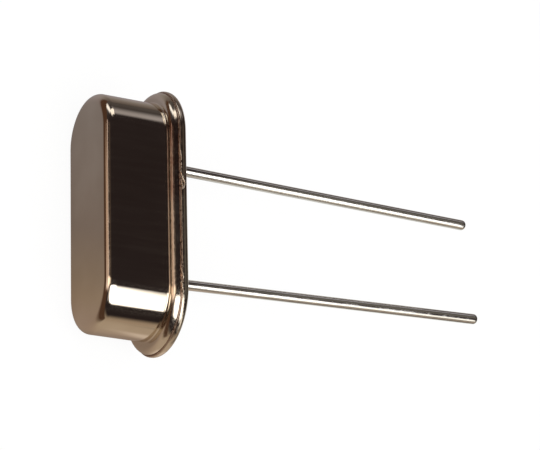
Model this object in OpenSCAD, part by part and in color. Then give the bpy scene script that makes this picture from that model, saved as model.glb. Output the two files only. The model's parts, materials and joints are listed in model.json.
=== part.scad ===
// Low-profile quartz crystal unit: a drawn can resistance-welded to a glass-sealed base, two wire
// leads, and inside it a quartz strip held by clips. It lies on one long side, as it comes to rest.
// Pieces are drawn standing on the base's underside (z = 0, leads down, x along the row of leads)
// and laid down by at_rest().

/* [Can] */
// Length of the can over its round ends
can_l = 9.9; // [8.2:0.05:13]
// Width of the can, which is also the diameter of its round ends
can_w = 3.6; // [3:0.05:4.5]
// Height from the base's underside to the can's flat top
height = 3.34; // [2.7:0.01:5]
// Thickness of the can's sheet
sheet = 0.2; // [0.12:0.01:0.25]
// Outer radius of the rounded shoulder
shoulder_r = 0.38; // [0.3:0.02:0.6]
// Radius of the corner between the wall and the flange
foot_r = 0.06; // [0.02:0.01:0.08]
// Radius on the can's mouth, inside the flange
mouth_r = 0.1; // [0.05:0.01:0.15]
// Thickness of the flange
flange_t = 0.35; // [0.33:0.01:0.45]
// How far the can's flange stands out from its long sides
flange_out = 0.38; // [0.38:0.01:0.6]
// How much further the flange stands out at the round ends
flange_end_extra = 0.1; // [0:0.02:0.2]
// Radius on the flange's upper edge
flange_edge_r = 0.3; // [0.1:0.01:0.3]

/* [Base] */
// Thickness of the base's rim
rim_t = 0.34; // [0.25:0.01:0.45]
// How far the base's rim stands out past the can's flange
rim_step = 0.075; // [0:0.005:0.1]
// How much further the rim stands out at the round ends
rim_end_extra = 0.11; // [0:0.01:0.2]
// Radius on the rim's lower edge
rim_lower_r = 0.24; // [0.05:0.01:0.25]
// Radius on the rim's upper edge, beside the weld
rim_upper_r = 0.05; // [0.02:0.01:0.08]
// Height of the platform above the rim
platform_h = 0.41; // [0.3:0.01:0.6]
// Gap between the platform and the can's inner wall
platform_gap = 0.06; // [0.02:0.01:0.12]
// Radius on the platform's upper edge
platform_r = 0.1; // [0.05:0.01:0.15]
// Diameter of each hole for a glass seal
seal_d = 1.2; // [0.9:0.05:1.5]
// Depth of the meniscus in each face of the glass
meniscus = 0.06; // [0.02:0.01:0.1]

/* [Leads] */
// Distance between the two leads where they leave the base
pitch = 4.88; // [4.2:0.02:5.9]
// Diameter of the wire
lead_d = 0.43; // [0.4:0.01:0.55]
// Length of lead a below the base
lead_a_l = 14.45; // [4:0.05:20]
// Length of lead b below the base
lead_b_l = 14.8; // [4:0.05:20]
// Angle by which lead a leans towards lead b
lead_a_lean = 1.14; // [0:0.01:5]
// Angle by which lead b leans towards lead a
lead_b_lean = 1.83; // [0:0.01:5]
// Straight stretch between the base and the bend
lead_root = 0.25; // [0.1:0.05:1]
// Radius of the bend, at the wire's centre
lead_bend_r = 1; // [0.5:0.1:3]
// Radius on the edge of the tip
lead_tip_r = 0.18; // [0.04:0.01:0.19]
// Height of the lead's inner end above the platform
lead_stub = 0.3; // [0.2:0.05:0.5]
// Diameter of the flattened head on the inner end
head_d = 0.66; // [0.56:0.02:0.8]
// Thickness of the head
head_t = 0.12; // [0.08:0.01:0.2]

/* [Quartz] */
// Gap between each end of the blank and the can's inner wall
blank_end_gap = 0.74; // [0.6:0.02:1]
// Gap between each long edge of the blank and the can's inner wall
blank_side_gap = 0.7; // [0.5:0.05:0.9]
// Thickness of the blank
blank_t = 0.14; // [0.08:0.01:0.3]
// Thickness of each electrode film
film_t = 0.02; // [0.01:0.005:0.03]
// Length of the electrode's middle field
field_l = 4; // [2.5:0.1:4.4]
// Margin between the field and the blank's long edges
field_margin = 0.25; // [0.1:0.05:0.35]
// Width of the tab that joins the field to the blank's end
tab_w = 0.6; // [0.6:0.05:0.8]

/* [Clips] */
// Thickness of the clips' sheet
clip_t = 0.1; // [0.08:0.01:0.14]
// Width of the foot on the lead's head
clip_foot_w = 0.8; // [0.6:0.05:1]
// Rise from the foot to the shelf under the blank
clip_rise = 0.4; // [0.3:0.05:0.6]
// Inner radius of the clip's bends
clip_bend_r = 0.08; // [0.04:0.01:0.1]
// How far the shelf reaches past the blank's end
shelf_past = 0.3; // [0.2:0.02:0.4]
// Height of the ears beside the blank
ear_h = 0.3; // [0.2:0.05:0.5]
// Length of the ears
ear_l = 0.5; // [0.3:0.05:0.55]
// Gap between an ear and the blank's edge
ear_gap = 0.04; // [0.02:0.01:0.1]
// Radius of the drop of adhesive
drop_r = 0.28; // [0.2:0.02:0.3]

/* [Hidden] */
$fn = 64;

nickel = [0.72, 0.67, 0.6];
base_nickel = [0.66, 0.61, 0.54];
wire_tin = [0.82, 0.8, 0.77];
seal_glass = [0.2, 0.26, 0.28];
spring_silver = [0.75, 0.74, 0.7];
clear_quartz = [0.85, 0.9, 0.92];
film_silver = [0.88, 0.88, 0.86];
drop_grey = [0.55, 0.55, 0.56];

// radii about the centres of the round ends, and heights above the underside
end_x = (can_l - can_w) / 2;
flange_end_x = end_x + flange_end_extra;
rim_end_x = end_x + rim_end_extra;
wall_r = can_w / 2;
inner_r = wall_r - sheet;
flange_r = wall_r + flange_out;
rim_r = flange_r + rim_step;
platform_end_r = inner_r - platform_gap;
flange_z = rim_t + flange_t;
platform_z = rim_t + platform_h;
stub_z = platform_z + lead_stub;
shelf_z = stub_z + clip_rise;
blank_z = shelf_z + film_t;
blank_l = can_l - 2 * sheet - 2 * blank_end_gap;
blank_w = can_w - 2 * sheet - 2 * blank_side_gap;
shelf_end = blank_l / 2 + shelf_past;
riser_x = pitch / 2 + clip_foot_w / 2;
ear_x = riser_x + clip_t + clip_bend_r;
shelf_w = blank_w + 2 * (ear_gap + clip_t);

// The rim keeps a little of its straight wall between its two edge radii.
rim_lower = min(rim_lower_r, rim_t - rim_upper_r - 0.02);

// The angle at which a line touches both the shoulder and one rounded edge of the flange, and the
// distance of the unit's axis from that line. An edge is [height, radius about the axis, rounding].
rim_edge = [rim_t - rim_upper_r, rim_r - rim_upper_r, rim_upper_r];
flange_edge = [flange_z - flange_edge_r, flange_r - flange_edge_r, flange_edge_r];
shoulder_edge = [height - shoulder_r, wall_r - shoulder_r, shoulder_r];
function reach(edge, angle) = edge[0] * sin(angle) + edge[1] * cos(angle) + edge[2];
function contact_angle(edge) =
    let (along = shoulder_edge[0] - edge[0], across = edge[1] - shoulder_edge[1])
    acos((shoulder_edge[2] - edge[2]) / norm([along, across])) - atan2(along, across);
tilt = max(contact_angle(rim_edge), contact_angle(flange_edge));
axis_up = reach(shoulder_edge, tilt);

// How far below the underside a point on a lead's axis lies, and the middle of the unit's length
function lead_drop(along, lean) =
    lead_root + lead_bend_r * sin(lean) + (along - lead_root - lead_bend_r * lean * PI / 180) * cos(lean);
function tip_reach(length, lean) =
    lead_drop(length - lead_tip_r, lean) * cos(tilt) + lead_tip_r
    + (lead_d / 2 - lead_tip_r) * sqrt(1 - pow(cos(tilt) * cos(lean), 2));
top_reach = shoulder_edge[0] * cos(tilt) + shoulder_edge[1] * sin(tilt) + shoulder_r;
middle_x = (max(tip_reach(lead_a_l, lead_a_lean), tip_reach(lead_b_l, lead_b_lean)) - top_reach) / 2;

// Lays the standing unit on its long side: leads towards +X, lead a on the +Y side
module at_rest() {
    translate([-middle_x, 0, axis_up])
        rotate([0, -tilt, 0])
            rotate([-90, 0, 90])
                children();
}

// Carries a section round two round ends, centred at x = +-centre_x, and along the straight sides
// between them. The section's own x is measured from those centres.
module around(centre_x) {
    for (side = [0, 180])
        rotate([0, 0, side])
            translate([centre_x, 0, 0])
                rotate([0, 0, -90])
                    rotate_extrude(angle = 180)
                        children();
    rotate([90, 0, 90])
        translate([0, 0, -centre_x])
            linear_extrude(2 * centre_x)
                union() {
                    children();
                    mirror([1, 0])
                        children();
                }
}

module quarter_disc(r) {
    intersection() {
        circle(r);
        square(r);
    }
}

// A section from the axis out to r, between two heights, with its outer corners rounded
module slab(r, low, high, upper_r, lower_r = 0) {
    translate([0, low + lower_r])
        square([r, high - low - upper_r - lower_r]);
    translate([0, low + lower_r])
        square([r - upper_r, high - low - lower_r]);
    translate([0, low])
        square([r - lower_r, high - low - upper_r]);
    translate([r - upper_r, high - upper_r])
        quarter_disc(upper_r);
    if (lower_r > 0)
        translate([r - lower_r, low + lower_r])
            mirror([0, 1])
                quarter_disc(lower_r);
}

// ---- casing ----

module can_outside() {
    slab(wall_r, rim_t, height, shoulder_r);
    difference() {
        translate([0, rim_t])
            square([wall_r + foot_r, flange_t + foot_r]);
        translate([wall_r + foot_r, flange_z + foot_r])
            circle(foot_r);
    }
}

module can_inside() {
    slab(inner_r, 0, height - sheet, shoulder_r - sheet);
    difference() {
        square([inner_r + mouth_r, rim_t + mouth_r]);
        translate([inner_r + mouth_r, rim_t + mouth_r])
            circle(mouth_r);
    }
}

module can() {
    color(nickel)
        at_rest()
            difference() {
                union() {
                    around(end_x)
                        can_outside();
                    around(flange_end_x)
                        slab(flange_r, rim_t, flange_z, flange_edge_r);
                }
                around(end_x)
                    can_inside();
            }
}

module base() {
    color(base_nickel)
        at_rest()
            difference() {
                union() {
                    around(rim_end_x)
                        slab(rim_r, 0, rim_t, rim_upper_r, rim_lower);
                    around(end_x)
                        slab(platform_end_r, 0, platform_z, platform_r);
                }
                for (side = [-1, 1])
                    translate([side * pitch / 2, 0, -1])
                        cylinder(d = seal_d, h = platform_z + 2);
            }
}

// ---- leads and their seals ----

// A bead of glass between the wire and its hole, with a hollow meniscus in both faces
module glass_bead() {
    gap = (seal_d - lead_d) / 2;
    meniscus_r = (gap * gap / 4 + meniscus * meniscus) / (2 * meniscus);
    middle_r = lead_d / 2 + gap / 2;
    rotate_extrude()
        difference() {
            translate([lead_d / 2, 0])
                square([gap, platform_z]);
            translate([middle_r, meniscus - meniscus_r])
                circle(meniscus_r);
            translate([middle_r, platform_z - meniscus + meniscus_r])
                circle(meniscus_r);
        }
}

module glass_seal_a() {
    color(seal_glass)
        at_rest()
            translate([pitch / 2, 0, 0])
                glass_bead();
}

module glass_seal_b() {
    color(seal_glass)
        at_rest()
            translate([-pitch / 2, 0, 0])
                glass_bead();
}

// A wire along z that leans towards -x below the base
module bent_lead(length, lean) {
    lower_l = length - lead_root - lead_bend_r * lean * PI / 180;
    translate([0, 0, stub_z - head_t])
        cylinder(d = head_d, h = head_t);
    translate([0, 0, -lead_root])
        cylinder(d = lead_d, h = lead_root + stub_z);
    translate([-lead_bend_r, 0, -lead_root]) {
        if (lean > 0)
            rotate([-90, 0, 0])
                rotate_extrude(angle = lean)
                    translate([lead_bend_r, 0])
                        circle(d = lead_d);
        rotate([0, lean, 0])
            translate([lead_bend_r, 0, 0])
                mirror([0, 0, 1])
                    rotate_extrude()
                        slab(lead_d / 2, 0, lower_l, lead_tip_r);
    }
}

module lead_a() {
    color(wire_tin)
        at_rest()
            translate([pitch / 2, 0, 0])
                bent_lead(lead_a_l, lead_a_lean);
}

module lead_b() {
    color(wire_tin)
        at_rest()
            translate([-pitch / 2, 0, 0])
                rotate([0, 0, 180])
                    bent_lead(lead_b_l, lead_b_lean);
}

// ---- quartz and its holders ----

// Side view of a clip's strip: a foot on the lead's head, a riser, and the shelf
module clip_strip() {
    foot_z = stub_z;
    bend_r = clip_bend_r + clip_t;
    translate([pitch / 2 - clip_foot_w / 2, foot_z])
        square([clip_foot_w - bend_r + clip_t, clip_t]);
    translate([riser_x, foot_z + bend_r])
        square([clip_t, clip_rise - 2 * bend_r]);
    translate([riser_x + bend_r, shelf_z - clip_t])
        square([shelf_end - riser_x - bend_r, clip_t]);
    strip_bend([riser_x + clip_t - bend_r, foot_z + bend_r], [0, -1], bend_r);
    strip_bend([riser_x + bend_r, shelf_z - bend_r], [-1, 0], bend_r);
}

// A quarter of a ring: the outside of the bend has radius r, and corner picks the quadrant
module strip_bend(centre, corner, r) {
    translate(centre)
        intersection() {
            difference() {
                circle(r);
                circle(r - clip_t);
            }
            translate(corner * r)
                square(r);
        }
}

module holder() {
    tongue_w = clip_foot_w;
    rotate([90, 0, 0])
        translate([0, 0, -tongue_w / 2])
            linear_extrude(tongue_w)
                clip_strip();
    translate([ear_x, -shelf_w / 2, shelf_z - clip_t])
        cube([ear_l, shelf_w, clip_t]);
    for (side = [-1, 1])
        translate([ear_x, side * (shelf_w - clip_t) / 2 - clip_t / 2, shelf_z - clip_t])
            cube([ear_l, clip_t, clip_t + ear_h]);
}

module clip_a() {
    color(spring_silver)
        at_rest()
            holder();
}

module clip_b() {
    color(spring_silver)
        at_rest()
            rotate([0, 0, 180])
                holder();
}

module blank_body() {
    translate([-blank_l / 2, -blank_w / 2, blank_z])
        cube([blank_l, blank_w, blank_t]);
}

module quartz_blank() {
    color(clear_quartz)
        at_rest()
            blank_body();
}

// A film with a field in the middle and a tab to the +x end
module film(low_z) {
    field_w = blank_w - 2 * field_margin;
    translate([0, 0, low_z])
        linear_extrude(film_t)
            union() {
                square([field_l, field_w], center = true);
                translate([0, -tab_w / 2])
                    square([blank_l / 2, tab_w]);
            }
}

module upper_film() {
    rotate([0, 0, 180])
        film(blank_z + blank_t);
}

module lower_film() {
    film(blank_z - film_t);
}

module electrode_upper() {
    color(film_silver)
        at_rest()
            upper_film();
}

module electrode_lower() {
    color(film_silver)
        at_rest()
            lower_film();
}

// A domed drop on the shelf at the blank's end, fitted round the blank and the films
module drop(side) {
    difference() {
        translate([side * blank_l / 2, 0, shelf_z])
            intersection() {
                sphere(drop_r);
                translate([-drop_r, -drop_r, 0])
                    cube(2 * drop_r);
            }
        blank_body();
        upper_film();
        lower_film();
    }
}

module adhesive_a() {
    color(drop_grey)
        at_rest()
            drop(1);
}

module adhesive_b() {
    color(drop_grey)
        at_rest()
            drop(-1);
}

can();
base();
glass_seal_a();
glass_seal_b();
lead_a();
lead_b();
clip_a();
clip_b();
quartz_blank();
electrode_upper();
electrode_lower();
adhesive_a();
adhesive_b();
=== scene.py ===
import json
import math

import bmesh
import bpy
import numpy as np
from mathutils import Matrix, Vector


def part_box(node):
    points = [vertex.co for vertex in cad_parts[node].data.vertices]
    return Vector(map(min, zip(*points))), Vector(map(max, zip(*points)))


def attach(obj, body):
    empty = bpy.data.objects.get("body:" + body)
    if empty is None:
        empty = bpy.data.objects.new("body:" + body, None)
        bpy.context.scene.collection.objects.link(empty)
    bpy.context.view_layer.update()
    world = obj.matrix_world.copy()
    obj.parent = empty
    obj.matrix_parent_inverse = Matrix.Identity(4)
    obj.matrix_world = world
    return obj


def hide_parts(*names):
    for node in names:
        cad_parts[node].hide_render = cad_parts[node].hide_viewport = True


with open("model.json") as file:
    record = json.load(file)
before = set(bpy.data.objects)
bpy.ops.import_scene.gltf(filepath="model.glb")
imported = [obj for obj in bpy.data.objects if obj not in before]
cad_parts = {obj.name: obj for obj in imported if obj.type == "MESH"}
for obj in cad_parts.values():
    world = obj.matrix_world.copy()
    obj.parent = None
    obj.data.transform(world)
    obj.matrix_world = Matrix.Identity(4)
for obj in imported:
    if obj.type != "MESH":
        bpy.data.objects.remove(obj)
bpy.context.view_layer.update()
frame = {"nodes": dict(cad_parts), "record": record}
print("frame loaded")

# The unit stands on its base in its own millimetres: row runs along the two leads, side points out
# of the long side that faces up, and height is measured from the base's underside to the flat top.
mm = 0.001
mounts = {mount["name"]: mount for mount in frame["record"]["mounts"]}
underside = np.array(mounts["seating_face"]["pos_m"])
leadWay = np.array(mounts["seating_face"]["axis"])
rowWay = np.array([0.0, 1.0, 0.0])
sideWay = np.cross(leadWay, rowWay)


def lay(row, side, height):
    # own millimetres to metres in the frame, for arrays of any one shape
    row, side, height = np.broadcast_arrays(row, side, height)
    across = row[..., None] * rowWay + side[..., None] * sideWay
    return underside + mm * (across - height[..., None] * leadWay)


shot = {
    "aim": (0.75, 1.538, 1.361),    # millimetres
    "azimuth": -150.354,            # of the camera, round the aim, degrees
    "elevation": 46.514,
    "distance": 118.3,
    "roll": 65.941,
    "lens": 189.7,
}


def makeCamera():
    # looks at the aim from its distance along the way back, then rolled about that way
    camera = bpy.data.objects.new("camera", bpy.data.cameras.new("camera"))
    bpy.context.scene.collection.objects.link(camera)
    bpy.context.scene.camera = camera
    azimuth, elevation = math.radians(shot["azimuth"]), math.radians(shot["elevation"])
    level = math.cos(elevation)
    back = Vector((math.cos(azimuth) * level, math.sin(azimuth) * level, math.sin(elevation)))
    turned = back.to_track_quat("Z", "Y").to_matrix() @ Matrix.Rotation(math.radians(shot["roll"]), 3, "Z")
    camera.matrix_world = turned.to_4x4()
    camera.location = (Vector(shot["aim"]) + back * shot["distance"]) * mm
    camera.data.lens = shot["lens"]
    camera.data.clip_start, camera.data.clip_end = 0.002, 5


makeCamera()
print("camera placed")


mergeWithin = 2e-7    # metres
shortest = 1e-8       # metres, edges below this are dissolved


def gridFaces(rows, columns, closed):
    # four corners of each cell of a grid; a closed grid's last row joins its first
    low = np.arange(rows if closed else rows - 1)
    high = (low + 1) % rows
    column = np.arange(columns - 1)
    corners = [low[:, None] * columns + column, high[:, None] * columns + column,
               high[:, None] * columns + column + 1, low[:, None] * columns + column + 1]
    return np.stack(corners, axis=-1).reshape(-1, 4)


def makePiece(name, patches, stands=()):
    # joins grids of points, each with its closed flag, into one welded skin
    places, faces, used = [], [], 0
    for points, closed in patches:
        rows, columns = points.shape[:2]
        places.append(points.reshape(-1, 3))
        faces.append(gridFaces(rows, columns, closed) + used)
        used += rows * columns
    mesh = bpy.data.meshes.new(name)
    mesh.from_pydata(np.vstack(places), [], np.vstack(faces))
    skin = bmesh.new()
    skin.from_mesh(mesh)
    bmesh.ops.remove_doubles(skin, verts=skin.verts, dist=mergeWithin)
    bmesh.ops.dissolve_degenerate(skin, edges=skin.edges, dist=shortest)
    bmesh.ops.recalc_face_normals(skin, faces=skin.faces)
    skin.to_mesh(mesh)
    skin.free()
    mesh.shade_smooth()
    piece = bpy.data.objects.new(name, mesh)
    bpy.context.scene.collection.objects.link(piece)
    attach(piece, "root")
    if stands:
        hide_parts(*stands)
    return piece


hold = 0.012    # millimetres from a bend to the nearest ring, which keeps flats flat in the light


def straight(start, end, steps=6):
    # points of (radius, height, end shift) on a line, with a close ring beside each end
    start, end = np.array(start, float), np.array(end, float)
    length = np.linalg.norm(end - start)
    near = min(hold / length, 0.25)
    share = np.concatenate([[0], np.linspace(near, 1 - near, steps), [1]])
    return start + share[:, None] * (end - start)


def bend(centre, radius, fromAngle, toAngle, shift=0.0, steps=14):
    # points on an arc about centre, angles in degrees from straight out
    angle = np.radians(np.linspace(fromAngle, toAngle, steps + 1))
    points = np.stack([centre[0] + radius * np.cos(angle), centre[1] + radius * np.sin(angle)], axis=-1)
    return np.column_stack([points, np.full(len(angle), shift)])


def roundPath(arcSteps=96, sideSteps=40):
    # along (-1 to 1 between the round ends' centres) and turn (the way out, degrees), once round
    arc = np.linspace(-90, 90, arcSteps + 1)
    near = 0.004    # of the straight's half length, from each end of it to the nearest ring
    run = np.concatenate([[1 - near], np.linspace(1, -1, sideSteps + 1)[1:-1], [near - 1]])
    along = np.concatenate([np.ones(len(arc)), run, -np.ones(len(arc)), -run])
    turn = np.concatenate([arc, np.full(len(run), 90.0), arc + 180, np.full(len(run), 270.0)])
    return along, np.radians(turn)


def carried(profile, centre, path):
    # the profile carried round the path: a point sits its radius out from a line between two centres
    along, turn = path
    radius, height, shift = profile.T
    row = along[:, None] * (centre + shift) + radius * np.cos(turn)[:, None]
    return lay(row, radius * np.sin(turn)[:, None], height + 0 * row)


can = {
    "width": 3.6,
    "height": 3.34,
    "sheet": 0.2,
    "shoulder": 0.38,
    "foot": 0.06,
    "mouth": 0.1,
    "flange": 0.35,
    "flangeOut": 0.38,
    "flangeEndExtra": 0.1,
    "flangeEdge": 0.3,
}
base = {
    "rim": 0.34,
    "rimStep": 0.075,
    "rimEndExtra": 0.11,
    "rimLower": 0.24,
    "rimUpper": 0.05,
    "platform": 0.41,
    "platformGap": 0.06,
    "platformEdge": 0.1,
    "hole": 1.2,
    "pitch": 4.88,
}
wallRadius = can["width"] / 2
flangeRadius = wallRadius + can["flangeOut"]
rimRadius = flangeRadius + base["rimStep"]
canLow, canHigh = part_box("can")
endCentre = (canHigh.y - canLow.y) / 2 / mm - flangeRadius - can["flangeEndExtra"]
platformRadius = wallRadius - can["sheet"] - base["platformGap"]
platformTop = base["rim"] + base["platform"]


def canProfile():
    # from the top's middle out over the shoulder, down the wall, round the flange, and up inside
    top, sheet, edge, extra = can["height"], can["sheet"], can["flangeEdge"], can["flangeEndExtra"]
    shoulder, foot, mouth = can["shoulder"], can["foot"], can["mouth"]
    rim = base["rim"]
    flangeTop = rim + can["flange"]
    innerRadius = wallRadius - sheet
    bendFrom = wallRadius + foot    # where the foot's bend ends, and its centre
    roundFrom = wallRadius - shoulder
    return np.vstack([
        straight((0, top, 0), (roundFrom, top, 0), 8),
        bend((roundFrom, top - shoulder), shoulder, 90, 0, steps=20),
        straight((wallRadius, top - shoulder, 0), (wallRadius, flangeTop + foot, 0), 8),
        bend((bendFrom, flangeTop + foot), foot, 180, 270, steps=16),
        straight((bendFrom, flangeTop, 0), (flangeRadius - edge, flangeTop, extra), 3),
        bend((flangeRadius - edge, flangeTop - edge), edge, 90, 0, extra, 18),
        straight((flangeRadius, flangeTop - edge, extra), (flangeRadius, rim, extra), 2),
        straight((flangeRadius, rim, extra), (innerRadius + mouth, rim, 0), 2),
        bend((innerRadius + mouth, rim + mouth), mouth, 270, 180, steps=8),
        straight((innerRadius, rim + mouth, 0), (innerRadius, top - shoulder, 0), 3),
        bend((roundFrom, top - shoulder), shoulder - sheet, 0, 90, steps=8),
        straight((roundFrom, top - sheet, 0), (0, top - sheet, 0), 3),
    ])


canPatch = (carried(canProfile(), endCentre, roundPath()), True)
canPiece = makePiece("canShell", [canPatch], ["can"])
print("can made")


def halfPlate(half, radius, centre, height, path, steps=12):
    # one half of a flat plate: straight from its round hole out to the path and the middle line
    along, turn = path
    count = len(along)
    first = np.flatnonzero(along == 0)[half]
    ring = np.arange(first, first + count // 2 + 1) % count
    row = along[ring] * centre + radius * np.cos(turn[ring])
    side = radius * np.sin(turn[ring])
    middle = np.linspace(side[-1], side[0], 40)[1:-1]
    row, side = np.append(row, 0 * middle), np.append(side, middle)
    holeRow = (2 * half - 1) * base["pitch"] / 2
    angle = np.arctan2(side, row - holeRow)
    share = np.concatenate([[0], np.linspace(0.01, 0.99, steps), [1]])
    rows = holeRow + base["hole"] / 2 * np.cos(angle)
    sides = base["hole"] / 2 * np.sin(angle)
    rows = rows[:, None] + share * (row - rows)[:, None]
    sides = sides[:, None] + share * (side - sides)[:, None]
    return lay(rows, sides, height)


def baseProfile():
    # round the rim's edge from below, in to the platform's wall, and up over its edge
    rim, lower, upper, edge = base["rim"], base["rimLower"], base["rimUpper"], base["platformEdge"]
    extra = base["rimEndExtra"]
    return np.vstack([
        bend((rimRadius - lower, lower), lower, -90, 0, extra, 10),
        straight((rimRadius, lower, extra), (rimRadius, rim - upper, extra), 2),
        bend((rimRadius - upper, rim - upper), upper, 0, 90, extra, 8),
        straight((rimRadius - upper, rim, extra), (platformRadius, rim, 0), 2),
        straight((platformRadius, rim, 0), (platformRadius, platformTop - edge, 0), 2),
        bend((platformRadius - edge, platformTop - edge), edge, 0, 90, 0, 6),
    ])


def basePatches():
    # the edge carried round, two halves of the flat at each end of it, and the walls of the two holes
    path = roundPath()
    lowRadius, lowCentre = rimRadius - base["rimLower"], endCentre + base["rimEndExtra"]
    patches = [(carried(baseProfile(), endCentre, path), True)]
    for half in (0, 1):
        low = halfPlate(half, lowRadius, lowCentre, 0, path)
        high = halfPlate(half, platformRadius - base["platformEdge"], endCentre, platformTop, path)
        wall = low[:, :1] + np.linspace(0, 1, 6)[:, None] * (high[:, :1] - low[:, :1])
        patches += [(low, True), (high, True), (wall, True)]
    return patches


basePiece = makePiece("baseShell", basePatches(), ["base"])
print("base made")

lead = {
    "wire": 0.43,
    "root": 0.25,         # straight below the base, before the bend
    "bendRadius": 1.0,
    "tipEdge": 0.18,
    "stub": 0.3,          # above the platform, inside
    "head": 0.66,
    "headThickness": 0.12,
    "headEdges": (0.95, 0.9),    # how wide its inner and outer faces are, as shares
}
glass = {"meniscus": 0.06}


def leadSkin(mount, end):
    # rings along the wire's middle line: the head, the root, the bend, then straight to the round tip
    wire, tip, root, bendRadius = lead["wire"] / 2, lead["tipEdge"], lead["root"], lead["bendRadius"]
    lean = math.acos(min(1.0, float(np.dot(mount["axis"], leadWay) / np.linalg.norm(mount["axis"]))))
    inner = -(platformTop + lead["stub"])
    bendEnd = root + bendRadius * lean
    tipFrom = bendEnd + mount["dims"]["length_mm"]
    head, neck = lead["head"] / 2, inner + lead["headThickness"]
    innerFace, outerFace = (head * share for share in lead["headEdges"])
    even = np.concatenate([np.linspace(neck, root, 8)[1:], np.linspace(root, bendEnd, 10)[1:],
                           np.linspace(bendEnd, tipFrom, 80)[1:]])
    tipTurn = np.linspace(0, math.pi / 2, 13)[1:]
    distance = np.concatenate([[inner] * 3, [neck] * 3, even, tipFrom + tip * np.sin(tipTurn),
                               [tipFrom + tip] * 2])
    radius = np.concatenate([[0, innerFace, head], [head, outerFace, wire], np.full(len(even), wire),
                             wire - tip + tip * np.cos(tipTurn), [(wire - tip) * 0.8, 0]])
    turned = np.clip((distance - root) / bendRadius, 0, lean)
    past = np.maximum(distance - bendEnd, 0)
    depth = np.minimum(distance, root) + bendRadius * np.sin(turned) + past * math.cos(lean)
    inward = bendRadius * (1 - np.cos(turned)) + past * math.sin(lean)
    around = np.linspace(0, 2 * math.pi, 49)[:-1, None]
    outward = radius * np.cos(around)
    row = end * (base["pitch"] / 2 - inward - outward * np.cos(turned))
    return lay(row, radius * np.sin(around), outward * np.sin(turned) - depth)


def sealSkin(end):
    # a ring's section turned about the lead: a hollow meniscus in each face between wire and hole
    inner, outer, depth = lead["wire"] / 2, base["hole"] / 2, glass["meniscus"]
    share = np.linspace(0, 1, 17)
    radius = inner + (outer - inner) * share
    dip = depth * 4 * share * (1 - share)
    radius = np.concatenate([radius, radius[::-1], radius[:1]])
    height = np.concatenate([dip, (platformTop - dip)[::-1], dip[:1]])
    around = np.linspace(0, 2 * math.pi, 97)[:-1, None]
    row = end * base["pitch"] / 2 + radius * np.cos(around)
    return lay(row, radius * np.sin(around), height + 0 * around)


leadPieces, sealPieces = [], []
for letter, end in (("a", 1), ("b", -1)):
    wirePatch, sealPatch = (leadSkin(mounts[f"lead_{letter}_pin"], end), True), (sealSkin(end), True)
    upper = letter.upper()
    leadPieces.append(makePiece(f"lead{upper}", [wirePatch], [f"lead_{letter}"]))
    sealPieces.append(makePiece(f"seal{upper}", [sealPatch], [f"glass_seal_{letter}"]))
print("leads and glass made")


weld = {
    "thickness": 0.03,      # of the bead in the corner between flange and rim, millimetres
    "out": 0.018,           # its middle line past the flange's edge, and above the rim
    "up": 0.014,
    "rough": 0.4,           # how much its thickness wanders, as a share, and a splash's
    "splashRough": 0.12,
    "seed": 5,
    "splashSeed": 11,
    # the rows where it has grown thicker, by how much, and how far along the row that reaches
    "growths": ((2.3, 0.01), (-1.9, 0.012), (-2.45, 0.014), (-2.85, 0.016), (-3.6, 0.02)),
    "growthReach": 0.11,
    "splashes": (           # row, how far out, height and thickness along each run of spilt metal
        ((2.75, 2.225, 0.37, 0.0), (2.6, 2.235, 0.365, 0.016), (2.35, 2.245, 0.35, 0.03),
         (2.15, 2.252, 0.33, 0.034), (2.0, 2.258, 0.315, 0.02), (1.9, 2.258, 0.31, 0.0)),
        ((1.82, 2.255, 0.318, 0.0), (1.72, 2.255, 0.318, 0.028), (1.62, 2.255, 0.325, 0.02),
         (1.55, 2.255, 0.33, 0.0)),
        ((1.52, 2.25, 0.34, 0.0), (1.42, 2.252, 0.335, 0.026), (1.25, 2.256, 0.295, 0.034),
         (1.1, 2.26, 0.235, 0.03), (1.0, 2.26, 0.185, 0.034), (0.88, 2.26, 0.18, 0.034),
         (0.79, 2.26, 0.215, 0.026), (0.7, 2.26, 0.25, 0.0)),
        ((1.12, 2.255, 0.3, 0.0), (1.03, 2.258, 0.315, 0.018), (0.93, 2.26, 0.3, 0.022),
         (0.83, 2.26, 0.27, 0.026), (0.74, 2.26, 0.27, 0.02), (0.66, 2.26, 0.29, 0.0)),
        ((-2.55, 2.21, 0.38, 0.0), (-2.66, 2.23, 0.37, 0.02), (-2.8, 2.25, 0.335, 0.034),
         (-2.95, 2.256, 0.315, 0.034), (-3.04, 2.256, 0.31, 0.0)),
        ((-3.08, 2.22, 0.385, 0.0), (-3.17, 2.23, 0.375, 0.03), (-3.26, 2.245, 0.345, 0.036),
         (-3.38, 2.25, 0.345, 0.03), (-3.48, 2.25, 0.36, 0.0)),
    ),
}


def wander(distance, around, length, seed, finest=170):
    # a sum of waves that closes on itself after length, about -1 to 1, for arrays of any one shape
    draw = np.random.default_rng(seed)
    turns, spins = draw.integers(5, finest, 32), draw.integers(-3, 4, 32)
    starts, weights = draw.uniform(0, 2 * math.pi, 32), 1 / np.sqrt(turns)
    waves = np.sin(distance[..., None] * turns * 2 * math.pi / length + around[..., None] * spins + starts)
    return (waves * weights).sum(axis=-1) / weights.sum() * 2.2


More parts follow.
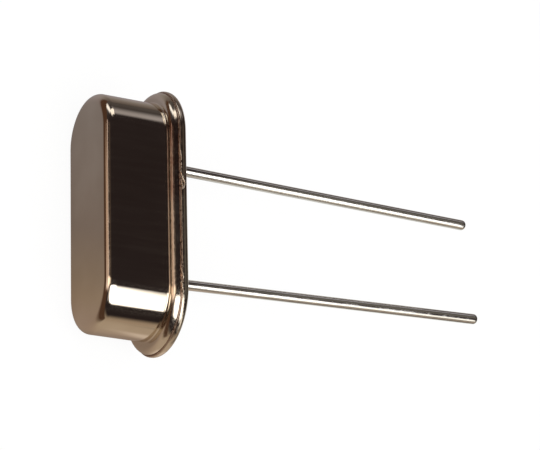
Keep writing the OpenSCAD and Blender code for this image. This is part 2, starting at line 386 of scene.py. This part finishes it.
def weldSkin():
    # a thin round bead carried along the seam, its thickness wandering and grown at a few places
    along, turn = roundPath(240, 260)
    radius = flangeRadius + weld["out"]
    seamRow = along * (endCentre + can["flangeEndExtra"]) + radius * np.cos(turn)
    seamSide = radius * np.sin(turn)
    steps = np.hypot(np.diff(seamRow, append=seamRow[:1]), np.diff(seamSide, append=seamSide[:1]))
    distance, length = (np.cumsum(steps) - steps)[:, None], steps.sum()
    around = np.linspace(0, 2 * math.pi, 21)[None, :]
    ripples = wander(distance + 0 * around, around + 0 * distance, length, weld["seed"])
    thickness = weld["thickness"] * (1 + weld["rough"] * ripples)
    for place, growth in weld["growths"]:
        near = np.exp(-((seamRow - place) / weld["growthReach"]) ** 2) * (seamSide > 0)
        thickness = thickness + growth * near[:, None]
    out, up = thickness * np.cos(around), thickness * np.sin(around)
    row = seamRow[:, None] + out * np.cos(turn)[:, None]
    return lay(row, seamSide[:, None] + out * np.sin(turn)[:, None], base["rim"] + weld["up"] + up)


def splashSkin(run, seed):
    # a run of spilt metal: rings square to the row, their middles and thickness smoothed between points
    run = np.array(run)
    share = np.linspace(0, len(run) - 1, 24 * len(run))
    kernel = np.hanning(15) / np.hanning(15).sum()
    padded = np.stack([np.interp(share, np.arange(len(run)), column) for column in run.T])
    smooth = np.stack([np.convolve(np.pad(line, 7, "edge"), kernel, "valid") for line in padded])
    row, out, height, thickness = smooth
    thickness[[0, -1]] = 0
    around = np.linspace(0, 2 * math.pi, 17)[None, :]
    ripples = wander(share[:, None] + 0 * around, around + 0 * share[:, None], len(run), seed, 60)
    wide = thickness[:, None] * (1 + weld["splashRough"] * ripples)
    return lay(row[:, None], out[:, None] + wide * np.cos(around), height[:, None] + wide * np.sin(around))


weldPiece = makePiece("weldBead", [(weldSkin(), True)])
splashPatches = [(splashSkin(run, weld["splashSeed"] + number), False)
                 for number, run in enumerate(weld["splashes"])]
splashPiece = makePiece("weldSplash", splashPatches)
print("weld made")


def ownPlace(tree):
    # the unit's own millimetres: depth along the leads, row, side
    place, turned = tree.nodes.new("ShaderNodeTexCoord"), tree.nodes.new("ShaderNodeMapping")
    turned.vector_type = "TEXTURE"
    turned.inputs["Location"].default_value = underside
    turned.inputs["Rotation"].default_value = (0, -math.asin(leadWay[2]), 0)
    turned.inputs["Scale"].default_value = (mm, mm, mm)
    tree.links.new(place.outputs["Object"], turned.inputs["Vector"])
    return turned.outputs["Vector"]


def noiseAt(tree, place, perMm, stretch=(1, 1, 1), detail=2.0):
    # a cloudy pattern, perMm across and squeezed by stretch along depth, row and side
    scaled, noise = tree.nodes.new("ShaderNodeMapping"), tree.nodes.new("ShaderNodeTexNoise")
    scaled.inputs["Scale"].default_value = [perMm * value for value in stretch]
    noise.inputs["Scale"].default_value = 1
    noise.inputs["Detail"].default_value = detail
    tree.links.new(place, scaled.inputs["Vector"])
    tree.links.new(scaled.outputs["Vector"], noise.inputs["Vector"])
    return noise.outputs["Fac"]


def ranged(tree, value, low, high, fromLow=0.35, fromHigh=0.65):
    # carries fromLow to fromHigh over to low to high, with a smooth step
    scale = tree.nodes.new("ShaderNodeMapRange")
    scale.interpolation_type = "SMOOTHSTEP"
    for name, number in (("From Min", fromLow), ("From Max", fromHigh), ("To Min", low), ("To Max", high)):
        scale.inputs[name].default_value = number
    tree.links.new(value, scale.inputs["Value"])
    return scale.outputs["Result"]


def blended(tree, share, first, second):
    # between two colours, or a socket and a colour
    mix = tree.nodes.new("ShaderNodeMix")
    mix.data_type = "RGBA"
    tree.links.new(share, mix.inputs["Factor"])
    sockets = [socket for socket in mix.inputs if socket.type == "RGBA"]
    for socket, colour in zip(sockets, (first, second)):
        if isinstance(colour, tuple):
            socket.default_value = (*colour, 1)
        else:
            tree.links.new(colour, socket)
    return next(socket for socket in mix.outputs if socket.type == "RGBA")


def toned(tree, share, tones, shader):
    # the surface's colour, by a pattern from the first tone to the second
    tree.links.new(blended(tree, share, *tones), shader.inputs["Base Color"])


def product(tree, first, second):
    # one value times another
    times = tree.nodes.new("ShaderNodeMath")
    times.operation = "MULTIPLY"
    tree.links.new(first, times.inputs[0])
    tree.links.new(second, times.inputs[1])
    return times.outputs[0]


def bumped(tree, height, depth, under=None):
    # tilts the normal by a height pattern that many millimetres deep
    bump = tree.nodes.new("ShaderNodeBump")
    bump.inputs["Distance"].default_value = depth * mm
    tree.links.new(height, bump.inputs["Height"])
    if under is not None:
        tree.links.new(under, bump.inputs["Normal"])
    return bump.outputs["Normal"]


def finishOf(name, metallic):
    # a new material, its nodes and its shader
    material = bpy.data.materials.new(name)
    material.use_nodes = True
    shader = material.node_tree.nodes["Principled BSDF"]
    shader.inputs["Metallic"].default_value = metallic
    return material, material.node_tree, shader


plating = {
    # tones and roughness from low to high, depths in millimetres, and the tint from the weld's heat
    "can": {"tones": ((0.655, 0.575, 0.475), (0.705, 0.63, 0.53)), "roughness": (0.07, 0.13),
            "waves": 0.0012, "draw": 0.00016, "pressed": 0.0009, "tint": (0.4, 0.25, 0.19)},
    "base": {"tones": ((0.63, 0.55, 0.45), (0.69, 0.61, 0.51)), "roughness": (0.1, 0.17),
             "waves": 0.001, "draw": 0.00016, "pressed": 0.0009, "tint": (0.5, 0.37, 0.28)},
    "weld": {"tones": ((0.3, 0.2, 0.15), (0.5, 0.39, 0.31)), "roughness": (0.14, 0.34),
             "waves": 0.002, "draw": 0.0005, "pressed": 0.003, "tint": (0.34, 0.25, 0.2)},
    "splash": {"tones": ((0.62, 0.52, 0.41), (0.8, 0.71, 0.6)), "roughness": (0.1, 0.26),
               "waves": 0.002, "draw": 0.0005, "pressed": 0.003, "tint": (0.68, 0.58, 0.47)},
}
platingZones = {
    # between which depths or rows each part of the finish comes in, or goes, in millimetres
    "pressed": (-0.76, -0.66),
    "seam": (-0.12, -0.02),
    "hotFrom": (-0.2, 1.0),
    "hotTo": (3.2, 4.0),
}


def nickelPlate(name, row):
    # bright nickel: slow clouds of tone, faint draw lines down the wall, a coarser skin where pressed
    material, tree, shader = finishOf(name, 1)
    place = ownPlace(tree)
    cloud = noiseAt(tree, place, 0.45)
    draw = noiseAt(tree, place, 5.0, (0.06, 1, 1), 3)
    skin = noiseAt(tree, place, 9.0, detail=3)
    parts = tree.nodes.new("ShaderNodeSeparateXYZ")
    tree.links.new(place, parts.inputs[0])
    pressed = ranged(tree, parts.outputs["X"], 0, 1, *platingZones["pressed"])
    low, high = row["roughness"]
    tone = blended(tree, ranged(tree, cloud, 0, 1), *row["tones"])
    hot = product(tree, ranged(tree, parts.outputs["Y"], 0, 1, *platingZones["hotFrom"]),
                  ranged(tree, parts.outputs["Y"], 1, 0, *platingZones["hotTo"]))
    seam = product(tree, pressed, ranged(tree, parts.outputs["X"], 1, 0, *platingZones["seam"]))
    tinted = product(tree, product(tree, seam, hot), ranged(tree, noiseAt(tree, place, 1.6), 0.55, 1))
    tone = blended(tree, tinted, tone, row["tint"])
    tree.links.new(tone, shader.inputs["Base Color"])
    grain = blended(tree, ranged(tree, draw, 0, 1), (low,) * 3, (high,) * 3)
    coarse = product(tree, pressed, ranged(tree, skin, 0, 1))
    tree.links.new(blended(tree, coarse, grain, (high * 1.5,) * 3), shader.inputs["Roughness"])
    normal = bumped(tree, noiseAt(tree, place, 0.9), row["waves"])
    normal = bumped(tree, draw, row["draw"], normal)
    normal = bumped(tree, product(tree, pressed, skin), row["pressed"], normal)
    tree.links.new(normal, shader.inputs["Normal"])
    return material


finishRows = {
    # two tones, roughness for a pattern's low and high, how deep patterns go in millimetres, the
    # refractive index, and how clear or metallic it is as a share
    "tin": {"tones": ((0.78, 0.755, 0.71), (0.9, 0.885, 0.85)), "roughness": (0.09, 0.19),
            "lumps": 0.0012, "streaks": 0.00015},
    "glass": {"tones": ((0.012, 0.017, 0.016), (0.035, 0.047, 0.045)), "roughness": (0.3, 0.08),
              "bubbles": 0.004, "index": 1.53},
    "strip": {"tones": ((0.66, 0.62, 0.55), (0.76, 0.73, 0.67)), "roughness": (0.2, 0.36), "lines": 0.0012},
    "quartz": {"tones": ((0.86, 0.91, 0.92), (0.95, 0.96, 0.95)), "roughness": (0.25, 0.5),
               "etch": 0.0012, "index": 1.544, "clear": 0.85},
    "film": {"tones": ((0.84, 0.8, 0.72), (0.93, 0.92, 0.89)), "roughness": (0.22, 0.38), "etch": 0.001},
    "adhesive": {"tones": ((0.36, 0.35, 0.34), (0.68, 0.67, 0.65)), "roughness": (0.3, 0.65),
                 "lumps": 0.01, "metal": 0.35},
}


def tinnedWire(row):
    # bright tin wiped lengthways: streaks along the wire, soft lumps, duller spots
    material, tree, shader = finishOf("tinnedWire", 1)
    place = ownPlace(tree)
    streak = noiseAt(tree, place, 9.0, (0.09, 1, 1), 3)
    spots = noiseAt(tree, place, 3.2, detail=3)
    toned(tree, ranged(tree, streak, 0, 1), row["tones"], shader)
    tree.links.new(ranged(tree, spots, *row["roughness"]), shader.inputs["Roughness"])
    normal = bumped(tree, noiseAt(tree, place, 2.0, (0.3, 1, 1)), row["lumps"])
    tree.links.new(bumped(tree, streak, row["streaks"], normal), shader.inputs["Normal"])
    return material


def firedGlass(row):
    # dark sealing glass: swirls of tone, tiny bubbles at its surface
    material, tree, shader = finishOf("firedGlass", 0)
    place = ownPlace(tree)
    toned(tree, ranged(tree, noiseAt(tree, place, 2.5, detail=4), 0, 1), row["tones"], shader)
    bubbles = tree.nodes.new("ShaderNodeTexVoronoi")
    bubbles.inputs["Scale"].default_value = 9
    tree.links.new(place, bubbles.inputs["Vector"])
    away = bubbles.outputs["Distance"]
    tree.links.new(ranged(tree, away, *row["roughness"], 0.05, 0.3), shader.inputs["Roughness"])
    shader.inputs["IOR"].default_value = row["index"]
    tree.links.new(bumped(tree, ranged(tree, away, 0, 1, 0, 0.25), row["bubbles"]), shader.inputs["Normal"])
    return material


def springSilver(row):
    # rolled nickel silver strip: fine lines across the row, a few darker patches
    material, tree, shader = finishOf("springSilver", 1)
    place = ownPlace(tree)
    lines = noiseAt(tree, place, 30.0, (1, 0.05, 1), 3)
    toned(tree, ranged(tree, noiseAt(tree, place, 1.5, detail=3), 0, 1), row["tones"], shader)
    tree.links.new(ranged(tree, lines, *row["roughness"]), shader.inputs["Roughness"])
    tree.links.new(bumped(tree, lines, row["lines"]), shader.inputs["Normal"])
    return material


def lappedQuartz(row):
    # clear quartz with a fine lapped and etched face
    material, tree, shader = finishOf("lappedQuartz", 0)
    place = ownPlace(tree)
    etch = noiseAt(tree, place, 40.0, detail=4)
    toned(tree, ranged(tree, noiseAt(tree, place, 0.8), 0, 1), row["tones"], shader)
    tree.links.new(ranged(tree, etch, *row["roughness"]), shader.inputs["Roughness"])
    shader.inputs["IOR"].default_value = row["index"]
    shader.inputs["Transmission Weight"].default_value = row["clear"]
    tree.links.new(bumped(tree, etch, row["etch"]), shader.inputs["Normal"])
    return material


def silverFilm(row):
    # evaporated silver over the etched face: its grain shows through, slightly tarnished in clouds
    material, tree, shader = finishOf("silverFilm", 1)
    place = ownPlace(tree)
    etch = noiseAt(tree, place, 40.0, detail=4)
    toned(tree, ranged(tree, noiseAt(tree, place, 0.9, detail=3), 0, 1), row["tones"], shader)
    tree.links.new(ranged(tree, etch, *row["roughness"]), shader.inputs["Roughness"])
    tree.links.new(bumped(tree, etch, row["etch"]), shader.inputs["Normal"])
    return material


def silverAdhesive(row):
    # grey conductive adhesive: flakes of silver in a dull binder
    material, tree, shader = finishOf("silverAdhesive", row["metal"])
    place = ownPlace(tree)
    flakes = tree.nodes.new("ShaderNodeTexVoronoi")
    flakes.inputs["Scale"].default_value = 28
    tree.links.new(place, flakes.inputs["Vector"])
    away = flakes.outputs["Distance"]
    toned(tree, ranged(tree, away, 1, 0, 0.2, 0.6), row["tones"], shader)
    tree.links.new(ranged(tree, away, *row["roughness"], 0.1, 0.6), shader.inputs["Roughness"])
    tree.links.new(bumped(tree, noiseAt(tree, place, 12.0, detail=4), row["lumps"]), shader.inputs["Normal"])
    return material


canPiece.data.materials.append(nickelPlate("nickelPlate", plating["can"]))
basePiece.data.materials.append(nickelPlate("baseNickel", plating["base"]))
weldPiece.data.materials.append(nickelPlate("weldNickel", plating["weld"]))
splashPiece.data.materials.append(nickelPlate("splashNickel", plating["splash"]))
wireFinish, glassFinish = tinnedWire(finishRows["tin"]), firedGlass(finishRows["glass"])
for piece in leadPieces:
    piece.data.materials.append(wireFinish)
for piece in sealPieces:
    piece.data.materials.append(glassFinish)
keptFinishes = {
    "clip": springSilver(finishRows["strip"]),
    "quartz_blank": lappedQuartz(finishRows["quartz"]),
    "electrode": silverFilm(finishRows["film"]),
    "adhesive": silverAdhesive(finishRows["adhesive"]),
}
for nodeName, node in frame["nodes"].items():
    for start, finish in keptFinishes.items():
        if nodeName.startswith(start):
            for slot in node.material_slots:
                slot.material = finish
print("finishes made")


def fade(value, start, end):
    # 0 before start, 1 after end, with a smooth step between
    share = np.clip((value - start) / (end - start), 0.0, 1.0)
    return share * share * (3 - 2 * share)


def stageMesh(name, points, colour):
    # a grid of points in millimetres, each with the light it gives, not part of the object
    rows, columns = points.shape[:2]
    mesh = bpy.data.meshes.new(name)
    mesh.from_pydata(points.reshape(-1, 3) * mm, [], gridFaces(rows, columns, False))
    glow = mesh.attributes.new("glow", "FLOAT_COLOR", "POINT")
    tones = np.concatenate([colour, np.ones((rows, columns, 1))], axis=-1)
    glow.data.foreach_set("color", tones.ravel())
    staged = bpy.data.objects.new(name, mesh)
    bpy.context.scene.collection.objects.link(staged)
    return staged


cardRows = {
    # azimuth and elevation of a card's sides in degrees, how wide its left, right, low and high edges
    # fade, and its glow; the soft box is set by its corners and shares of its width and height, and
    # the cards for the leads have their own middle and distance in millimetres
    "softBox": {"corners": ((-1500, -60, 1000), (300, -60, 1000), (850, -1200, 1000), (-1500, -1400, 1000)),
                "soft": (0.05, 0.06, 0.04, 0.13), "glow": (2.6, 2.57, 2.52)},
    "sideCard": {"azimuth": (160, 190), "elevation": (-9, 28), "soft": (5, 16, 4, 14),
                 "glow": (1.35, 1.06, 0.9)},
    "sideWing": {"azimuth": (150, 165), "elevation": (-16, 14), "soft": (3, 5, 6, 15),
                 "glow": (0.9, 0.7, 0.6)},
    "sideTail": {"azimuth": (150, 165), "elevation": (18, 42), "soft": (3, 5, 8, 18),
                 "glow": (0.07, 0.05, 0.035)},
    "lowSide": {"azimuth": (162, 180), "elevation": (-25, 40), "soft": (4, 4, 10, 14),
                "glow": (0.85, 0.68, 0.5)},
    "cornerCard": {"azimuth": (102, 131), "elevation": (-6, 33), "soft": (12, 12, 9, 12),
                   "glow": (1.5, 1.5, 1.5)},
    "highCard": {"azimuth": (73, 118), "elevation": (25, 45), "soft": (6, 6, 3, 4),
                 "glow": (1.5, 1.42, 1.32)},
    "endCard": {"azimuth": (48, 92), "elevation": (14, 41), "soft": (8, 12, 17, 8),
                "glow": (0.4, 0.38, 0.39)},
    "backGlow": {"azimuth": (-150, -20), "elevation": (0, 13), "soft": (70, 10, 0, 13),
                 "glow": (0.42, 0.33, 0.24)},
    "frontGlow": {"azimuth": (30, 150), "elevation": (0, 26), "soft": (20, 20, 0, 20),
                  "glow": (0.07, 0.065, 0.06)},
    "wireCard": {"from": (5, 0, 3), "away": 45, "azimuth": (-78, -42), "elevation": (10, 46),
                 "soft": (6, 6, 16, 6), "glow": (1.16, 1.1, 0.99)},
    "wireShade": {"from": (5, 0, 3), "away": 45, "azimuth": (-15, 75), "elevation": (42, 84),
                  "soft": (12, 12, 8, 6), "glow": (0.1, 0.095, 0.078)},
    "frontBox": {"azimuth": (-178, -146), "elevation": (8, 50), "soft": (14, 3, 30, 3),
                 "glow": (1.6, 1.5, 1.4)},
}


def makeCard(name, row, steps=48):
    # a panel that glows most in its middle and fades out at its edges; the camera doesn't see it
    share = np.linspace(0, 1, steps + 1)
    along, up = np.meshgrid(share, share, indexing="ij")
    if "corners" in row:
        first, second, third, fourth = (np.array(corner, float) for corner in row["corners"])
        nearSide = first + along[..., None] * (second - first)
        points = nearSide + up[..., None] * (fourth + along[..., None] * (third - fourth) - nearSide)
        left, right, low, high = row["soft"]
    else:
        (left, right), (low, high) = row["azimuth"], row["elevation"]
        azimuth, elevation = np.radians(left + along * (right - left)), np.radians(low + up * (high - low))
        ways = np.stack([np.cos(azimuth) * np.cos(elevation), np.sin(azimuth) * np.cos(elevation),
                         np.sin(elevation)], axis=-1)
        points = np.array(row.get("from", (0, 0, 0))) + row.get("away", 1000) * ways
        width, height = right - left, high - low
        left, right, low, high = np.array(row["soft"]) / (width, width, height, height)
    mask = 1
    for away, soft in ((along, left), (1 - along, right), (up, low), (1 - up, high)):
        mask = mask * fade(away + 1e-6, 0, max(soft, 1e-6))
    card = stageMesh(name, points, mask[..., None] * np.array(row["glow"]))
    card.visible_camera = False
    material = bpy.data.materials.new(name)
    material.use_nodes = True
    tree = material.node_tree
    tree.nodes.clear()
    add, link = tree.nodes.new, tree.links.new
    tone, glow = add("ShaderNodeAttribute"), add("ShaderNodeEmission")
    clear, both = add("ShaderNodeBsdfTransparent"), add("ShaderNodeAddShader")
    out = add("ShaderNodeOutputMaterial")
    tone.attribute_name = "glow"
    link(tone.outputs["Color"], glow.inputs["Color"])
    link(glow.outputs[0], both.inputs[0])
    link(clear.outputs[0], both.inputs[1])
    link(both.outputs[0], out.inputs[0])
    card.data.materials.append(material)


for name, row in cardRows.items():
    makeCard(name, row)

benchRows = {
    # red, green and blue light of the bench that metal mirrors, for places along Y in millimetres
    "y": (-60, -20, -10, -8, -6, -4, -3, -2, 0, 5, 7, 9, 12, 16, 24, 80),
    "red": (0.45, 0.52, 0.54, 0.53, 0.44, 0.385, 0.345, 0.3, 0.255, 0.27, 0.34, 0.36, 0.3, 0.26, 0.2,
            0.15),
    "green": (0.35, 0.42, 0.44, 0.43, 0.34, 0.295, 0.265, 0.235, 0.21, 0.24, 0.3, 0.32, 0.27, 0.22, 0.17,
              0.12),
    "blue": (0.26, 0.32, 0.34, 0.33, 0.27, 0.24, 0.2, 0.185, 0.19, 0.235, 0.31, 0.32, 0.25, 0.2, 0.155,
             0.1),
    "dark": (0.095, 0.05, 0.03),
    "strip": (0.62, 0.44, 0.33),      # the wide pale strip away from the low end
    "core": (1.05, 0.86, 0.75),       # and its middle
    "lit": (0.78, 0.66, 0.56),        # beside the low end
    "underLeads": (0.6, 0.59, 0.55),
    "besideLeads": (0.13, 0.12, 0.105),
}
benchEdges = {
    # between which millimetres each part of the bench comes in or goes out, along x and then along y
    "besideLeads": ((0, 4), (4.5, 8), (18, 26)),
    "underLeads": ((-4, 0), (3.5, 7)),
    "lit": ((-6.2, -4.6), (-3.4, -2), (5.8, 6.6), (7.4, 8.6)),
    "dark": (10.2, 1.2, (1, 4)),      # where it starts, over how far, and where it takes 1 mm more
    "strip": ((15.2, 18.5), (-3.5, -2), 4, 3),    # its far side goes out from the third over the fourth
    "core": ((16, 19), (-3, -1.5), 1.5),
    "widen": (16, 0.03, 0.3, 0.1),    # where both widen from, then per mm: near side, far side, softness
}
paintedContactShadow = {
    # a painted contact shadow: how much darker the bench is against the unit, over how far, and the outline
    # of what touches it
    "share": 0.22,
    "reach": 0.6,
    "x": (-8.6, -5.4),
    "y": 5.3,
    "lowEnd": 3,      # how many times faster it ends past the low x
}


def benchTone(x, y):
    # light of the bench: by Y near the unit, dark past its low end but for one strip, with a painted contact
    # shadow against it
    places = [np.interp(y, benchRows["y"], benchRows[name]) for name in ("red", "green", "blue")]
    tone = np.stack(places, axis=-1)

    def towards(name, share):
        return tone + share[..., None] * (np.array(benchRows[name]) - tone)

    inX, inY, outY = benchEdges["besideLeads"]
    tone = towards("besideLeads", fade(x, *inX) * fade(-y, *inY) * (1 - fade(-y, *outY)))
    inX, outY = benchEdges["underLeads"]
    tone = towards("underLeads", fade(x, *inX) * (1 - fade(np.abs(y), *outY)))
    inX, outX, inY, outY = benchEdges["lit"]
    tone = towards("lit", fade(x, *inX) * (1 - fade(x, *outX)) * fade(-y, *inY) * (1 - fade(-y, *outY)))
    first, reach, more = benchEdges["dark"]
    tone = towards("dark", fade((-x - first) / (reach + fade(-y, *more)), 0, 1))
    start, near, far, soft = benchEdges["widen"]
    past = np.maximum(-x - start, 0)
    inX, (first, last), outY, reach = benchEdges["strip"]
    tone = towards("strip", fade(-x, *inX) * fade(y, first - near * past, last)
                   * (1 - fade(y - outY - far * past, 0, reach + soft * past)))
    inX, inY, reach = benchEdges["core"]
    tone = towards("core", fade(-x, *inX) * fade(y, *inY) * (1 - fade(y, 0, reach + soft * past)))
    # painted contact shadow: the bench's light is darker near the outline of what touches it
    first, last = paintedContactShadow["x"]
    awayX = np.maximum(x - last, 0) + paintedContactShadow["lowEnd"] * np.maximum(first - x, 0)
    away = np.hypot(awayX, np.maximum(np.abs(y) - paintedContactShadow["y"], 0))
    return tone * (1 - paintedContactShadow["share"] * np.exp(-(away / paintedContactShadow["reach"]) ** 2))[..., None]


room = {
    "floorHalf": 2000,                   # millimetres
    "floorFine": 2,                      # within this the floor's grid stays fine
    "floorPaint": (0.9, 0.9, 0.9, 1),
    "shadow": 0.08,                      # how much of the floor's own shading the camera sees
    "mirrored": (1.0, 0.73, 0.74, 1),    # the dark room that metal mirrors
    "mirroredStrength": 0.026,
    "fill": 0.55,                        # the white that lights paint, glass and the floor
}


def makeFloor():
    # white to the camera with a faint shadow, a plain pale floor for light, a warm bench in metal
    spread = room["floorFine"] * np.sinh(np.linspace(-1, 1, 181)
                                         * math.asinh(room["floorHalf"] / room["floorFine"]))
    x, y = np.meshgrid(spread, spread, indexing="ij")
    floor = stageMesh("floor", np.stack([x, y, 0 * x], axis=-1), benchTone(x, y))
    material = bpy.data.materials.new("floor")
    material.use_nodes = True
    tree = material.node_tree
    tree.nodes.clear()
    add, link = tree.nodes.new, tree.links.new
    pale, bench = add("ShaderNodeEmission"), add("ShaderNodeEmission")
    shaded, tone, path = add("ShaderNodeBsdfDiffuse"), add("ShaderNodeAttribute"), add("ShaderNodeLightPath")
    seen, mixed, whole = (add("ShaderNodeMixShader") for _ in range(3))
    out = add("ShaderNodeOutputMaterial")
    shaded.inputs["Color"].default_value = room["floorPaint"]
    tone.attribute_name = "glow"
    seen.inputs[0].default_value = room["shadow"]
    link(tone.outputs["Color"], bench.inputs["Color"])
    link(pale.outputs[0], seen.inputs[1])
    link(shaded.outputs[0], seen.inputs[2])
    link(path.outputs["Is Glossy Ray"], mixed.inputs[0])
    link(shaded.outputs[0], mixed.inputs[1])
    link(bench.outputs[0], mixed.inputs[2])
    link(path.outputs["Is Camera Ray"], whole.inputs[0])
    link(mixed.outputs[0], whole.inputs[1])
    link(seen.outputs[0], whole.inputs[2])
    link(whole.outputs[0], out.inputs[0])
    floor.data.materials.append(material)


def makeRoom():
    # white to the camera, a white fill for paint, glass and the floor, a dark room in metal
    world = bpy.data.worlds.new("studio")
    bpy.context.scene.world = world
    world.use_nodes = True
    tree = world.node_tree
    add, link = tree.nodes.new, tree.links.new
    path, fill, clear = add("ShaderNodeLightPath"), add("ShaderNodeBackground"), add("ShaderNodeBackground")
    mixed, whole = add("ShaderNodeMixShader"), add("ShaderNodeMixShader")
    dark = tree.nodes["Background"]
    dark.inputs["Color"].default_value = room["mirrored"]
    dark.inputs["Strength"].default_value = room["mirroredStrength"]
    fill.inputs["Color"].default_value = (1, 1, 1, 1)
    fill.inputs["Strength"].default_value = room["fill"]
    clear.inputs["Color"].default_value = (1, 1, 1, 1)
    link(path.outputs["Is Diffuse Ray"], mixed.inputs[0])
    link(dark.outputs[0], mixed.inputs[1])
    link(fill.outputs[0], mixed.inputs[2])
    link(path.outputs["Is Camera Ray"], whole.inputs[0])
    link(mixed.outputs[0], whole.inputs[1])
    link(clear.outputs[0], whole.inputs[2])
    link(whole.outputs[0], tree.nodes["World Output"].inputs[0])


makeFloor()
makeRoom()
print("light made")

bpy.context.scene.view_settings.view_transform = "Standard"
